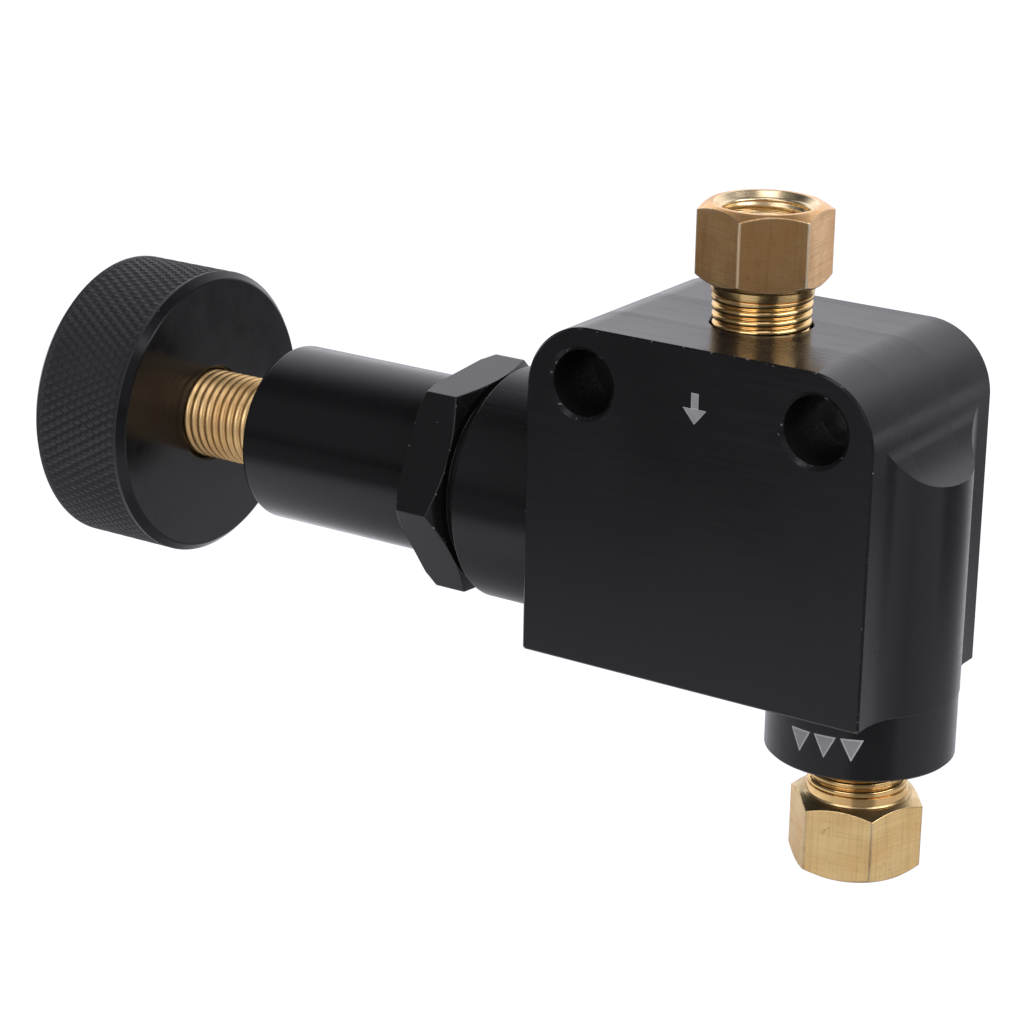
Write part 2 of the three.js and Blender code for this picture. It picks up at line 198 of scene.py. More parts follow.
class Turning:
    """A closed skin round an axis. Each row's radius and height may differ from angle to angle."""

    def __init__(self, columns):
        self.columns = columns
        self.rows = []

    def to(self, radius, height, ease=0.08):
        """A corner of the outline, eased by a small bevel."""
        point = np.stack(np.broadcast_arrays(radius, height, self.columns)[:2], axis=1).astype(float)
        self.rows.append((point, ease))
        return self

    def thread(self, start, end, radius_from, radius_to, pitch, depth, inside=False, crest=2.4, per_turn=14):
        """Helical thread rows between two heights. A higher crest value gives a flatter, wider crest."""
        fade = 0.6
        count = max(2, int(abs(end - start) / pitch * per_turn))
        for k in range(count + 1):
            share = k / count
            height = start + (end - start) * share
            radius = radius_from + (radius_to - radius_from) * share
            phase = np.abs((height / pitch - self.columns / TAU) % 1.0 - 0.5) * 2
            from_end = min(share, 1 - share) * abs(end - start)
            cut = depth * phase ** crest * min(1.0, from_end / fade + 0.1)
            self.to(radius + cut if inside else radius - cut, height, ease=0)
        return self

    def eased(self, closed):
        """The rows with each corner replaced by a small bevel between two support rows."""
        made = []
        count = len(self.rows)
        for k, (point, ease) in enumerate(self.rows):
            if not ease or (not closed and k in (0, count - 1)):
                made.append(point)
                continue
            before = self.rows[k - 1][0] - point
            after = self.rows[(k + 1) % count][0] - point
            length_before = np.maximum(np.linalg.norm(before, axis=1, keepdims=True), 1e-6)
            length_after = np.maximum(np.linalg.norm(after, axis=1, keepdims=True), 1e-6)
            for way, length, far in ((before, length_before, 2), (before, length_before, 1),
                                     (after, length_after, 1), (after, length_after, 2)):
                made.append(point + way / length * np.minimum(ease * far, 0.2 * far * length))
        return made

    def build(self, name, axis, centre):
        """The closed solid. A first or last row of radius 0 becomes one point on the axis."""
        closed = self.rows[0][0][0, 0] > 0
        rows = self.eased(closed)
        n = len(self.columns)
        cos, sin = np.cos(self.columns), np.sin(self.columns)
        vertices, ids = [], []
        for row in rows:
            radius, height = row[:, 0], row[:, 1]
            on_axis = radius.max() == 0
            across, up, along = (radius * cos, radius * sin, height)
            place = {"X": (along, across, up), "Y": (up, along, across), "Z": (across, up, along)}[axis]
            points = np.stack(place, axis=1) + np.array(centre)
            first = len(vertices)
            vertices.extend(points[:1] if on_axis else points)
            ids.append([first] * n if on_axis else list(range(first, first + n)))
        pairs = list(zip(ids, ids[1:])) + ([(ids[-1], ids[0])] if closed else [])
        faces = []
        for low, high in pairs:
            for i in range(n):
                j = (i + 1) % n
                corners = list(dict.fromkeys((low[i], low[j], high[j], high[i])))
                if len(corners) > 2:
                    faces.append(corners)
        return new_object(name, vertices, faces)


def combine(target, tool, operation):
    """Joins tool to target or cuts it away, and removes tool."""
    modifier = target.modifiers.new("combine", "BOOLEAN")
    modifier.operation = operation
    modifier.solver = "EXACT"
    modifier.object = tool
    settled = target.evaluated_get(bpy.context.evaluated_depsgraph_get())
    mesh = bpy.data.meshes.new_from_object(settled)
    target.modifiers.clear()
    target.data = mesh
    bpy.data.objects.remove(tool)
    return target


def crisp(piece, degrees=35):
    piece.data.shade_smooth()
    piece.data.set_sharp_from_angle(angle=math.radians(degrees))
    return piece


def prism(name, outlines, axis):
    """A closed solid through a stack of equal-length outlines: (points, height) pairs."""
    vertices, faces = [], []
    n = len(outlines[0][0])
    for points, height in outlines:
        for a, b in points:
            vertices.append({"X": (height, a, b), "Y": (a, height, b), "Z": (a, b, height)}[axis])
    for k in range(len(outlines) - 1):
        for i in range(n):
            j = (i + 1) % n
            faces.append((k * n + i, k * n + j, (k + 1) * n + j, (k + 1) * n + i))
    faces.append(tuple(range(n)))
    faces.append(tuple(range(len(vertices) - n, len(vertices))))
    return new_object(name, vertices, faces)


def arc(centre, radius, start, end, steps):
    angles = np.radians(np.linspace(start, end, steps + 1))
    return [(centre[0] + radius * math.cos(a), centre[1] + radius * math.sin(a)) for a in angles]


# ---- materials ------------------------------------------------------------

def ranged_node(tree, value, numbers, smooth=False):
    """The value mapped from the first pair of numbers to the second, evenly or by a smooth step."""
    node = tree.nodes.new("ShaderNodeMapRange")
    if smooth:
        node.interpolation_type = "SMOOTHSTEP"
    for name, number in zip(("From Min", "From Max", "To Min", "To Max"), numbers):
        node.inputs[name].default_value = number
    tree.links.new(value, node.inputs["Value"])
    return node.outputs["Result"]


def math_node(tree, operation, first, second):
    """A sum, product or the like of two values, each a number or a socket."""
    node = tree.nodes.new("ShaderNodeMath")
    node.operation = operation
    for socket, value in zip(node.inputs, (first, second)):
        if isinstance(value, (int, float)):
            socket.default_value = value
        else:
            tree.links.new(value, socket)
    return node.outputs["Value"]


class Look:
    """A principled material with its texture nodes in object coordinates."""

    def __init__(self, name, metallic, roughness):
        self.material = bpy.data.materials.new(name)
        self.material.use_nodes = True
        self.tree = self.material.node_tree
        self.nodes, self.links = self.tree.nodes, self.tree.links
        self.shader = self.nodes["Principled BSDF"]
        self.shader.inputs["Metallic"].default_value = metallic
        self.shader.inputs["Roughness"].default_value = roughness
        self.place = self.nodes.new("ShaderNodeTexCoord").outputs["Object"]
        self.height = None

    def mapped(self, scale):
        mapping = self.nodes.new("ShaderNodeMapping")
        mapping.inputs["Scale"].default_value = scale
        self.links.new(self.place, mapping.inputs["Vector"])
        return mapping.outputs["Vector"]

    def noise(self, scale, detail=3.0, rough=0.5):
        """Noise that varies scale times a metre along each axis."""
        texture = self.nodes.new("ShaderNodeTexNoise")
        texture.inputs["Scale"].default_value = 1.0
        texture.inputs["Detail"].default_value = detail
        texture.inputs["Roughness"].default_value = rough
        scale = scale if isinstance(scale, tuple) else (scale,) * 3
        self.links.new(self.mapped(scale), texture.inputs["Vector"])
        return texture.outputs["Fac"]

    def sparse(self, scale, size, share):
        """Round specks in that share of the cells: 1 inside a speck and 0 outside."""
        cells = self.nodes.new("ShaderNodeTexVoronoi")
        cells.inputs["Scale"].default_value = scale
        self.links.new(self.place, cells.inputs["Vector"])
        split = self.nodes.new("ShaderNodeSeparateColor")
        self.links.new(cells.outputs["Color"], split.inputs["Color"])
        chosen = self.ranged(split.outputs["Red"], 1 - share, 1 - share + 0.01, 0.0, 1.0)
        inside = self.ranged(cells.outputs["Distance"], size * 0.6, size, 1.0, 0.0)
        return self.combined("MULTIPLY", chosen, inside)

    def passes(self, axis, width):
        """A saw wave along one axis, like the passes of a milling cutter that many metres wide."""
        wave = self.nodes.new("ShaderNodeTexWave")
        wave.wave_profile = "SAW"
        wave.bands_direction = axis
        wave.inputs["Scale"].default_value = math.pi / 10 / width
        self.links.new(self.place, wave.inputs["Vector"])
        return wave.outputs["Fac"]

    def ranged(self, value, low, high, to_low, to_high):
        return ranged_node(self.tree, value, (low, high, to_low, to_high))

    def combined(self, operation, first, second):
        return math_node(self.tree, operation, first, second)

    def mixed(self, share, first, second):
        """A colour between two, each a triple or another colour socket."""
        node = self.nodes.new("ShaderNodeMix")
        node.data_type = "RGBA"
        self.links.new(share, node.inputs["Factor"])
        for socket, value in ((node.inputs["A"], first), (node.inputs["B"], second)):
            if isinstance(value, tuple):
                socket.default_value = (*value, 1.0)
            else:
                self.links.new(value, socket)
        return node.outputs["Result"]

    def bump(self, value, depth):
        """Adds relief of that depth in millimetres to what is there already."""
        node = self.nodes.new("ShaderNodeBump")
        node.inputs["Distance"].default_value = depth * MM
        self.links.new(value, node.inputs["Height"])
        if self.height is not None:
            self.links.new(self.height, node.inputs["Normal"])
        self.height = node.outputs["Normal"]
        self.links.new(self.height, self.shader.inputs["Normal"])

    def turned(self, axis, amount):
        """Stretches the highlights across fine turning marks that run round an axis."""
        tangent = self.nodes.new("ShaderNodeTangent")
        tangent.direction_type = "RADIAL"
        tangent.axis = axis
        self.links.new(tangent.outputs["Tangent"], self.shader.inputs["Tangent"])
        self.shader.inputs["Anisotropic"].default_value = amount

    def colour(self, value):
        self.links.new(value, self.shader.inputs["Base Color"])

    def roughness(self, value):
        self.links.new(value, self.shader.inputs["Roughness"])


DARK_ANODISE = (0.0085, 0.0085, 0.009)
LIGHT_ANODISE = (0.012, 0.012, 0.0128)


def anodise(name, grain, roughness, turned=0.0, milled=0.0, nicks=1.0,
            dark=DARK_ANODISE, light=LIGHT_ANODISE):
    """Black anodised aluminium. grain scales its machining lines, and lower nicks bare more metal."""
    look = Look(name, 0.0, roughness)
    look.shader.inputs["IOR"].default_value = 1.4
    cloud = look.noise(90.0)
    lines = look.noise(grain, detail=4.0, rough=0.65)
    specks = look.sparse(420.0, 0.035, 0.1)
    tone = look.mixed(specks, look.mixed(cloud, dark, light), (0.16, 0.16, 0.16))
    if nicks < 1:
        bare = look.ranged(look.noise(1500.0, detail=5.0, rough=0.7), nicks, nicks + 0.03, 0.0, 1.0)
        tone = look.mixed(bare, tone, (0.3, 0.3, 0.31))
    look.colour(tone)
    spread = look.combined("ADD", look.ranged(cloud, 0.3, 0.7, -0.03, 0.03),
                           look.ranged(lines, 0.35, 0.65, roughness - 0.04, roughness + 0.05))
    look.roughness(spread)
    look.bump(lines, 0.0006)
    look.bump(look.noise(5200.0, detail=2.0), 0.0004)
    if turned:
        look.turned("X", turned)
    if milled:
        cutter = look.passes("Y", 0.0088)
        look.bump(cutter, milled)
        look.roughness(look.combined("ADD", spread, look.ranged(cutter, 0.0, 1.0, -0.05, 0.05)))
    return look.material


def brass(name, grain, roughness, bright, dull, relief=0.004, stain=0.0, crossed=0.0):
    """Machined brass. crossed is how strongly upright scratches show across its machining lines."""
    look = Look(name, 1.0, roughness)
    cloud = look.noise(260.0, detail=4.0)
    lines = look.noise(grain, detail=5.0, rough=0.7)
    tone = look.mixed(look.ranged(cloud, 0.35, 0.7, 0.0, 1.0), bright, dull)
    tone = look.mixed(look.ranged(lines, 0.45, 0.75, 0.0, 0.35), tone, tuple(0.55 * c for c in dull))
    if crossed:
        scratches = look.noise((3400.0, 3400.0, 110.0), detail=4.0, rough=0.7)
        tone = look.mixed(look.ranged(scratches, 0.48, 0.7, 0.0, crossed), tone, tuple(0.5 * c for c in dull))
        look.bump(scratches, relief * 0.6)
    spots = look.ranged(look.noise(700.0, detail=6.0, rough=0.7), 0.62, 0.75, 0.0, stain)
    look.colour(look.mixed(spots, tone, tuple(0.12 * c for c in dull)))
    look.roughness(look.combined("ADD", look.ranged(cloud, 0.3, 0.7, -0.04, 0.05),
                                 look.ranged(lines, 0.3, 0.7, roughness - 0.05, roughness + 0.08)))
    look.bump(lines, relief)
    look.bump(look.noise(2600.0, detail=3.0), relief * 0.4)
    return look.material


def steel(name, colour, roughness):
    look = Look(name, 1.0, roughness)
    lines = look.noise((2600.0, 300.0, 300.0), detail=4.0, rough=0.6)
    look.colour(look.mixed(lines, colour, tuple(0.7 * c for c in colour)))
    look.roughness(look.ranged(lines, 0.3, 0.7, roughness - 0.06, roughness + 0.08))
    look.bump(lines, 0.002)
    return look.material


def plain(name, colour, roughness, relief, metallic=0.0):
    look = Look(name, metallic, roughness)
    cloud = look.noise(900.0, detail=4.0)
    look.colour(look.mixed(cloud, colour, tuple(0.72 * c for c in colour)))
    look.roughness(look.ranged(cloud, 0.3, 0.7, roughness - 0.08, roughness + 0.08))
    look.bump(cloud, relief)
    return look.material


BLOCK_BLACK = anodise("block_black", (60.0, 2400.0, 2400.0), 0.22, milled=0.012)
# Much lighter anodise for the block's bottom edge bevels: partly a worn edge, partly a painted highlight
# along the edge.
EDGE_WEAR_AND_PAINTED_HIGHLIGHT = anodise("edge_wear_and_painted_highlight", (300.0, 900.0, 900.0), 0.3, dark=(0.05, 0.05, 0.052),
                     light=(0.16, 0.16, 0.165))
NICKED_BLACK = anodise("nicked_black", (900.0, 900.0, 900.0), 0.26, nicks=0.62)
TURNED_BLACK = anodise("turned_black", (3200.0, 30.0, 30.0), 0.17, light=(0.010, 0.010, 0.0107))
FACE_BLACK = anodise("face_black", (400.0, 400.0, 400.0), 0.2, turned=0.5, light=(0.010, 0.010, 0.0107))
KNURL_BLACK = anodise("knurl_black", (900.0, 900.0, 900.0), 0.44, dark=(0.028, 0.028, 0.0285),
                      light=(0.038, 0.038, 0.039))
THREAD_BRASS = brass("thread_brass", (500.0, 500.0, 4000.0), 0.15, (0.95, 0.66, 0.29), (0.84, 0.54, 0.22))
SCREW_BRASS = brass("screw_brass", (4200.0, 500.0, 500.0), 0.42, (1.0, 0.7, 0.33), (0.88, 0.56, 0.24))
# The inlet's brass is darker and more orange than the outlet's: painted shade, a shaded copy of the same
# brass.
INLET_BRASS_PAINTED_SHADE = brass("inlet_brass_painted_shade", (120.0, 120.0, 5600.0), 0.29, (1.0, 0.63, 0.29), (0.74, 0.4, 0.15),
                    relief=0.022, stain=0.7, crossed=0.3)
OUTLET_BRASS = brass("outlet_brass", (160.0, 160.0, 5600.0), 0.34, (1.0, 0.73, 0.34), (0.96, 0.64, 0.27),
                     relief=0.006, stain=0.8, crossed=0.35)
WORN_BRASS = brass("worn_brass", (5200.0, 5200.0, 5200.0), 0.4, (1.0, 0.9, 0.7), (0.9, 0.62, 0.32),
                   relief=0.03, stain=1.0)
# Paler, brighter brass inside the flare sockets: painted light inside the recess.
SOCKET_BRASS_PAINTED_LIGHT = brass("socket_brass_painted_light", (500.0, 500.0, 4000.0), 0.26, (1.0, 0.83, 0.54), (0.94, 0.72, 0.42))
# Darker brass for the faces at the hexagon's base that turn towards the block.
DARK_BRASS_FACING_BLOCK = brass("dark_brass_facing_block", (900.0, 900.0, 900.0), 0.3, (0.9, 0.7, 0.38), (0.62, 0.46, 0.23),
                      stain=0.9)
EDGE_BRASS = brass("edge_brass", (5200.0, 5200.0, 5200.0), 0.36, (1.0, 0.76, 0.42), (0.66, 0.44, 0.2),
                   relief=0.03, stain=1.0)
PISTON_BRASS = brass("piston_brass", (4200.0, 300.0, 300.0), 0.24, (0.93, 0.64, 0.3), (0.85, 0.55, 0.24))
ETCHED = plain("etched_grey", (0.42, 0.415, 0.41), 0.6, 0.004)
ETCHED_RIM = plain("etched_rim", (0.72, 0.71, 0.7), 0.5, 0.004)
RUBBER = plain("seal_rubber", (0.022, 0.022, 0.023), 0.62, 0.006)
WHITE_PLASTIC = plain("white_plastic", (0.82, 0.81, 0.76), 0.4, 0.003)
DARK_STEEL = steel("dark_steel", (0.09, 0.09, 0.095), 0.34)
BRIGHT_STEEL = steel("bright_steel", (0.6, 0.61, 0.62), 0.2)
SPRING_STEEL = steel("spring_steel", (0.36, 0.37, 0.39), 0.28)


def narrow_faces(piece, width=0.13):
    """The faces with a side shorter than width millimetres, which lie along a piece's bevelled edges."""
    points = piece.data.vertices
    for face in piece.data.polygons:
        corners = [points[k].co for k in face.vertices]
        shortest = min((a - b).length for a, b in zip(corners, corners[1:] + corners[:1]))
        if shortest < width * MM:
            yield face, face.center / MM


def finish_piece(piece, body, slot, replaced, *looks):
    """Gives a piece its materials and its body, and hides the CAD nodes that it stands for. The slot is not
    used.
    """
    if looks:
        piece.data.materials.clear()
    for look in looks:
        piece.data.materials.append(look)
    if replaced:
        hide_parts(*replaced)
    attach(piece, body)


# ---- valve body -----------------------------------------------------------

def block_outline(inset):
    """The block's outline in X and Z: two rounded top corners and two nearly square ones below."""
    side, top, bottom, radius = SIDE - inset, BLOCK_TOP - inset, BLOCK_BOTTOM + inset, CORNER - inset
    middle = SIDE - CORNER
    centre = BLOCK_TOP - CORNER
    return ([(-side, bottom + EDGE), (-side + EDGE, bottom), (side - EDGE, bottom), (side, bottom + EDGE)]
            + arc((middle, centre), radius, 0, 90, 40) + arc((-middle, centre), radius, 90, 180, 40))


def rib_outline(inset):
    """The rib's plan: the outlet boss's radius with a fillet on each side into the block."""
    radius, fillet = RIB_RADIUS - inset, RIB_FILLET + inset
    to_fillet = SIDE - inset + fillet - OUTLET[0]
    spread = math.sqrt((radius + fillet) ** 2 - to_fillet ** 2)
    turn = math.degrees(math.atan2(spread, to_fillet))
    x = SIDE - inset + fillet
    return ([(4.0, MID_Y - spread)]
            + arc((x, MID_Y - spread), fillet, 180, 180 - turn, 24)
            + arc(OUTLET[:2], radius, -turn, turn, 60)[1:-1]
            + arc((x, MID_Y + spread), fillet, 180 + turn, 180, 24)
            + [(4.0, MID_Y + spread)])


def cove_tool():
    """The space that the cove leaves open: everything outside an arc that starts at the block's corner."""
    start = BLOCK_TOP - CORNER
    outline = (arc((SIDE + COVE, start), COVE, 180, 270, 48)
               + [(SIDE + COVE + 6, start - COVE), (SIDE + COVE + 6, BLOCK_TOP + 2), (SIDE, BLOCK_TOP + 2)])
    return prism("cove", [(outline, 2.0), (outline, -DEPTH - 2.0)], "Y")


def hole_tool(x):
    """A through hole along Y with a chamfered mouth at both faces."""
    rim, deep = HOLE_RIM - HOLE_RADIUS, -DEPTH
    tool = Turning(round_columns(96))
    tool.to(0, 2, 0).to(HOLE_RIM + 2, 2, 0).to(HOLE_RADIUS, -rim, 0).to(HOLE_RADIUS, deep + rim, 0)
    tool.to(HOLE_RIM + 2, deep - 2, 0).to(0, deep - 2, 0)
    return tool.build("hole", "Y", (x, 0, 0))


def port_tool(mouth, way, drill_end):
    """A tapped port's bore with a countersunk mouth, then the drilled passage beyond it."""
    bore, bore_end, drill, drill_start = 5.2, mouth - 10.3 * way, 2.5, mouth - 10.9 * way
    tool = Turning(round_columns(96))
    tool.to(0, mouth + way, 0).to(6.2, mouth + way, 0).to(bore + 0.04, mouth - 0.12 * way, 0)
    tool.to(bore, bore_end, 0).to(drill, drill_start, 0).to(drill, drill_end, 0).to(0, drill_end, 0)
    return tool


def main_bore_tool():
    """The stepped bore: recess, bonnet thread, stem guide, inlet chamber and outlet chamber."""
    recess, thread, guide, inlet, outlet = 10.6, 9.0, 7.0, 5.7, 4.6
    thread_end, guide_end, inlet_end, outlet_end, point = -17.0, -7.0, 8.0, 16.6, 17.9
    tool = Turning(round_columns(120))
    outline = [(0, BOSS_END - 1), (recess, BOSS_END - 1), (recess, NECK_END), (thread, NECK_END + 0.4),
               (thread, thread_end), (guide, thread_end), (guide, guide_end), (inlet, guide_end),
               (inlet, inlet_end), (outlet, inlet_end), (outlet, outlet_end), (0, point)]
    for radius, x in outline:
        tool.to(radius, x, 0)
    return tool.build("main_bore", "X", ADJUSTER)


def sharpen_cove(body):
    """Keeps a crisp edge between the cove, cut along Y, and the rib's upright sides."""
    work = bmesh.new()
    work.from_mesh(body.data)
    for edge in work.edges:
        if len(edge.link_faces) != 2 or edge.verts[0].co.x < (SIDE - 0.01) * MM:
            continue
        cut, side = sorted((face.normal for face in edge.link_faces), key=lambda normal: -abs(normal.z))
        if abs(cut.z) > 0.02 > abs(side.z) and abs(cut.y) < 0.001 < abs(side.y):
            edge.smooth = False
    work.to_mesh(body.data)
    work.free()


def boss(name, axis, centre, radius, end, root, edge, ease):
    """A round boss from its chamfered end to its root inside the block."""
    skin = Turning(round_columns(192))
    skin.to(0, end, 0).to(radius - edge, end, ease).to(radius, end + edge, ease)
    return skin.to(radius, root, 0).to(0, root, 0).build(name, axis, centre)


def valve_body():
    rows = [(EDGE, 0.0), (0.0, -EDGE), (0.0, EDGE - DEPTH), (EDGE, -DEPTH)]
    body = prism("valve_body_skin", [(block_outline(inset), y) for inset, y in rows], "Y")
    rib_rows = [(0.14, BLOCK_BOTTOM), (0.0, BLOCK_BOTTOM + 0.14), (0.0, BLOCK_TOP - CORNER)]
    rib = prism("rib", [(rib_outline(inset), z) for inset, z in rib_rows], "Z")
    combine(rib, cove_tool(), "DIFFERENCE")
    combine(body, rib, "UNION")
    combine(body, boss("boss", "X", ADJUSTER, BOSS_RADIUS, BOSS_END, -10.0, EDGE, 0.03), "UNION")
    outlet_root = BLOCK_BOTTOM + 3
    outlet = boss("outlet_boss", "Z", OUTLET, OUTLET_BOSS_RADIUS, OUTLET_BOSS_END, outlet_root, 0.25, 0)
    combine(body, outlet, "UNION")
    combine(body, main_bore_tool(), "DIFFERENCE")
    for name, mouth, way, axis_at in (("inlet_port", BLOCK_TOP, 1, INLET),
                                      ("outlet_port", OUTLET_BOSS_END, -1, OUTLET)):
        combine(body, port_tool(mouth, way, ADJUSTER_Z).build(name, "Z", axis_at), "DIFFERENCE")
    for way in (-1, 1):
        combine(body, hole_tool(way * HOLE_SPACING / 2), "DIFFERENCE")
    crisp(body, 28)
    sharpen_cove(body)
    finish_piece(body, "housing", "body_anodise", ["valve_body"], BLOCK_BLACK, EDGE_WEAR_AND_PAINTED_HIGHLIGHT, NICKED_BLACK)
    for face in body.data.polygons:
        centre, normal = face.center / MM, face.normal
        # The bottom edge bevels take the lighter edge anodise, which is partly wear and partly a painted
        # highlight.
        at_bottom = BLOCK_BOTTOM - 0.05 < centre.z < BLOCK_BOTTOM + 0.25 and 0.1 < abs(normal.z) < 0.95
        to_face = min(centre.y - BODY_LOW[1], BODY_HIGH[1] - centre.y)
        at_side = to_face < EDGE and 0.3 < abs(normal.y) < 0.95
        face.material_index = 1 if at_bottom else 2 if at_side else 0


# ---- etched flow marks ----------------------------------------------------

MARK_LIFT = 0.012


def shrunk(outline, amount):
    """A convex outline drawn in towards its middle by about the given amount."""
    points = np.array(outline, float)
    middle = points.mean(axis=0)
    away = points - middle
    length = np.linalg.norm(away, axis=1, keepdims=True)
    return middle + away * np.maximum(1 - 1.5 * amount / length, 0.2)


def stepped(outline, per_side=10):
    """The outline with that many even steps along each side."""
    corners = np.array(outline, float)
    shares = np.arange(per_side)[:, None] / per_side
    return np.concatenate([a + (b - a) * shares for a, b in zip(corners, np.roll(corners, -1, axis=0))])


def etched_mark(name, outlines, rim, wrap):
    """Thin etched convex shapes with a brighter rim. wrap turns (across, up, lift) into a place."""
    vertices, faces, rims = [], [], []
    for outline in outlines:
        middle = np.mean(outline, axis=0)
        inner = stepped(shrunk(outline, rim))
        n = len(inner)
        first = len(vertices)
        vertices.append(wrap(*middle, MARK_LIFT))
        rings = [middle + (inner - middle) * share for share in (0.25, 0.5, 0.75, 1.0)]
        for points in rings + [stepped(outline)]:
            vertices.extend(wrap(a, b, MARK_LIFT) for a, b in points)
        faces.extend((first, first + 1 + k, first + 1 + (k + 1) % n) for k in range(n))
        rims.extend([False] * n)
        for ring in range(4):
            low = first + 1 + ring * n
            faces.extend((low + k, low + n + k, low + n + (k + 1) % n, low + (k + 1) % n)
                         for k in range(n))
            rims.extend([ring == 3] * n)
    made = new_object(name, vertices, faces)
    for face, is_rim in zip(made.data.polygons, rims):
        face.use_smooth = False
        face.material_index = 1 if is_rim else 0
    return made


def flow_marks():
    """A single arrow down the front for the inlet, and a row of triangles round the outlet boss."""
    stem, barb, reach = 0.42, 1.35, 1.6
    shaft = [(-stem, reach), (-stem, 0.0), (stem, 0.0), (stem, reach)]
    head = [(-barb, 0.0), (0, -reach), (barb, 0.0)]
    inlet = etched_mark("inlet_flow_mark", [shaft, head], 0.05,
                        lambda a, b, lift: (INLET[0] + a, BODY_LOW[1] - lift, b - 0.15))
    half, top, tip, spacing = 1.2, 1.15, -1.25, 2.8
    across = [[(shift - half, top), (shift, tip), (shift + half, top)] for shift in (-spacing, 0, spacing)]
    middle, height = math.radians(-84), -33.3
    outlet = etched_mark("outlet_flow_mark", across, 0.2, lambda a, b, lift: (
        OUTLET[0] + (OUTLET_BOSS_RADIUS + lift) * math.cos(middle + a / OUTLET_BOSS_RADIUS),
        MID_Y + (OUTLET_BOSS_RADIUS + lift) * math.sin(middle + a / OUTLET_BOSS_RADIUS), b + height))
    for mark in (inlet, outlet):
        finish_piece(mark, "housing", "body_anodise", [])
        mark.data.materials.append(ETCHED)
        mark.data.materials.append(ETCHED_RIM)


# ---- bonnet, screw and knob -----------------------------------------------

def bonnet():
    skin = Turning(hex_columns(HEX_TURN, 28))
    left, right = BONNET_LOW[0], BONNET_HIGH[0]
    skin.to(SLEEVE_RADIUS - SLEEVE_EDGE, left, 0)
    for quarter in np.linspace(0.12, 0.88, 7) * math.pi / 2:
        inward, along = 1 - math.sin(quarter), 1 - math.cos(quarter)
        skin.to(SLEEVE_RADIUS - SLEEVE_EDGE * inward, left + SLEEVE_EDGE * along, 0)
    skin.to(SLEEVE_RADIUS, left + SLEEVE_EDGE, 0).to(SLEEVE_RADIUS, HEX_START, 0.05)
    radius = hex_radius(skin.columns, HEX_TURN, HEX_RADIUS, 0.12)
    rear = np.maximum(radius - HEX_REAR_RADIUS, 0) * BEVEL_SLOPE
    front = np.maximum(radius - HEX_FRONT_RADIUS, 0) * BEVEL_SLOPE
    skin.to(np.minimum(HEX_REAR_RADIUS, radius), HEX_START, 0.05).to(radius, HEX_START + rear, 0.06)
    skin.to(radius, HEX_END - front, 0.06).to(np.minimum(HEX_FRONT_RADIUS, radius), HEX_END, 0.05)
    skin.to(SHOULDER_RADIUS, HEX_END, 0.05).to(SHOULDER_RADIUS, BOSS_END, 0.08)
    outer, hole, mouth = BONNET_THREAD_RADIUS, SCREW_HOLE_RADIUS, 5.1
    skin.to(NECK_RADIUS, BOSS_END, 0.05).to(NECK_RADIUS, NECK_END).to(outer, NECK_END + 0.3, 0.05)
    skin.thread(NECK_END + 0.4, right + 0.9, outer, outer, BONNET_PITCH, 0.55)
    skin.to(8.2, right, 0.1).to(SPRING_BORE_RADIUS, right, 0.1)
    skin.to(SPRING_BORE_RADIUS, SPRING_BORE_END, 0.1).to(5.3, SPRING_BORE_END, 0.08)
    skin.thread(-50.3, -53.9, hole, hole, SCREW_PITCH, 0.3, inside=True)
    skin.to(mouth, DRAG_GROOVE_RIGHT, 0.03).to(DRAG_GROOVE_RADIUS, DRAG_GROOVE_RIGHT, 0.05)
    skin.to(DRAG_GROOVE_RADIUS, DRAG_GROOVE_LEFT, 0.05).to(mouth, DRAG_GROOVE_LEFT, 0.03)
    skin.thread(-56.1, left + 0.9, hole, hole, SCREW_PITCH, 0.3, inside=True)
    skin.to(5.68, left, 0.08)
    piece = skin.build("bonnet_skin", "X", ADJUSTER)
    finish_piece(piece, "housing", "bonnet_anodise", ["bonnet"], TURNED_BLACK, NICKED_BLACK)
    for face, middle in narrow_faces(piece):
        on_hexagon = HEX_START - 0.1 < middle.x < HEX_END + 0.1
        if on_hexagon and math.hypot(middle.y - MID_Y, middle.z - ADJUSTER_Z) > 11.0:
            face.material_index = 1


def adjuster_screw():
    skin = Turning(round_columns(144))
    left, right = SCREW_LOW[0], SCREW_HIGH[0]
    tip, pocket = 4.6, 2.15
    skin.to(0, left, 0).to(4.3, left, 0.1).to(SCREW_RADIUS, left + 0.6, 0.05)
    skin.thread(left + 0.7, -49.9, SCREW_RADIUS, SCREW_RADIUS, SCREW_PITCH, 0.26, crest=2.0)
    skin.to(SCREW_RADIUS - 0.1, STOP_GROOVE_LEFT, 0.04).to(STOP_GROOVE_RADIUS, STOP_GROOVE_LEFT, 0.05)
    skin.to(STOP_GROOVE_RADIUS, STOP_GROOVE_RIGHT, 0.05).to(tip, STOP_GROOVE_RIGHT, 0.05)
    skin.to(tip, right - 0.4, 0.05).to(tip - 0.4, right, 0.05)
    skin.to(pocket, right, 0.05).to(pocket, right - 1.0, 0.05)
    skin.to(0, right - 1.9, 0)
    piece = skin.build("adjuster_screw_skin", "X", ADJUSTER)
    finish_piece(piece, "adjuster", "screw_brass", ["adjuster_screw"], SCREW_BRASS)


